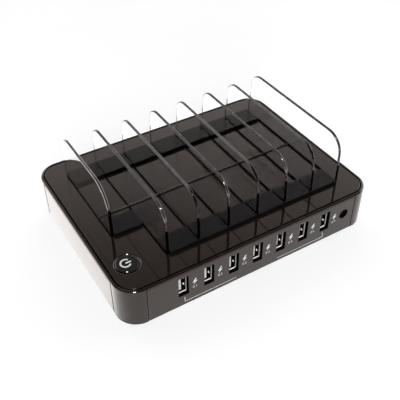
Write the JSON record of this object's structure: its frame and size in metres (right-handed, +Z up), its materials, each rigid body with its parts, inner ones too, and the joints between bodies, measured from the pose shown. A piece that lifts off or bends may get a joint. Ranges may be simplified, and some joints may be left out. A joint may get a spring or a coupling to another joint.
{
  "type": "charging station organizer",
  "caption": "Flat gloss-black charging case with a row of upright USB ports in front, a power button on the deck and a lift-off rack of clear upright dividers that stands devices on edge.",
  "frame": {"origin": "on the table under the middle of the case", "axes": "+Z up, the ports face -Y, +X along the row of ports towards the power inlet"},
  "size_m": [0.166, 0.123, 0.0573],
  "materials": {
    "case_gloss": "high-gloss black moulding",
    "panel_gloss": "high-gloss black insert with white prints",
    "button_gloss": "gloss black, white symbol",
    "rail_satin": "fine satin black",
    "clear_acrylic": "clear, polished edges",
    "shell_steel": "bright plated sheet",
    "tongue_white": "smooth white moulding",
    "contact_metal": "gold plated",
    "pin_metal": "turned, plated",
    "screw_steel": "dark plated",
    "foot_rubber": "matt black",
    "board_laminate": "green solder mask",
    "inner_plastic": "matt black moulding",
    "can_aluminium": "drawn can"
  },
  "bodies": {
    "base": {"base_tray": "case_gloss", "top_cover": "case_gloss", "front_panel": "panel_gloss", "circuit_board": "board_laminate", "usb_shell_1": "shell_steel", "usb_shell_2": "shell_steel", "usb_shell_3": "shell_steel", "usb_shell_4": "shell_steel", "usb_shell_5": "shell_steel", "usb_shell_6": "shell_steel", "usb_shell_7": "shell_steel", "usb_tongue_1": "tongue_white", "usb_tongue_2": "tongue_white", "usb_tongue_3": "tongue_white", "usb_tongue_4": "tongue_white", "usb_tongue_5": "tongue_white", "usb_tongue_6": "tongue_white", "usb_tongue_7": "tongue_white", "usb_contacts": "contact_metal", "dc_jack_housing": "inner_plastic", "dc_jack_pin": "pin_metal", "power_switch_case": "inner_plastic", "rubber_feet": "foot_rubber", "case_screws": "screw_steel", "port_controllers": "inner_plastic", "inductors": "inner_plastic", "capacitors": "can_aluminium"},
    "divider_rack": {"divider_1": "clear_acrylic", "divider_2": "clear_acrylic", "divider_3": "clear_acrylic", "divider_4": "clear_acrylic", "divider_5": "clear_acrylic", "divider_6": "clear_acrylic", "divider_7": "clear_acrylic", "divider_8": "clear_acrylic", "front_rail": "rail_satin", "short_front_rail": "rail_satin", "rear_rail": "rail_satin", "tie_bar": "case_gloss"},
    "power_button": {"power_button": "button_gloss", "power_switch_plunger": "inner_plastic"}
  },
  "joints": [
    {"name": "rack_lift", "type": "slide", "parent": "base", "child": "divider_rack", "axis": [0, 0, 1], "range_m": [0, 0.02]},
    {"name": "button_press", "type": "slide", "parent": "base", "child": "power_button", "axis": [0, 0, -1], "range_m": [0, 0.0008], "stiffness_N_per_m": 600}
  ]
}
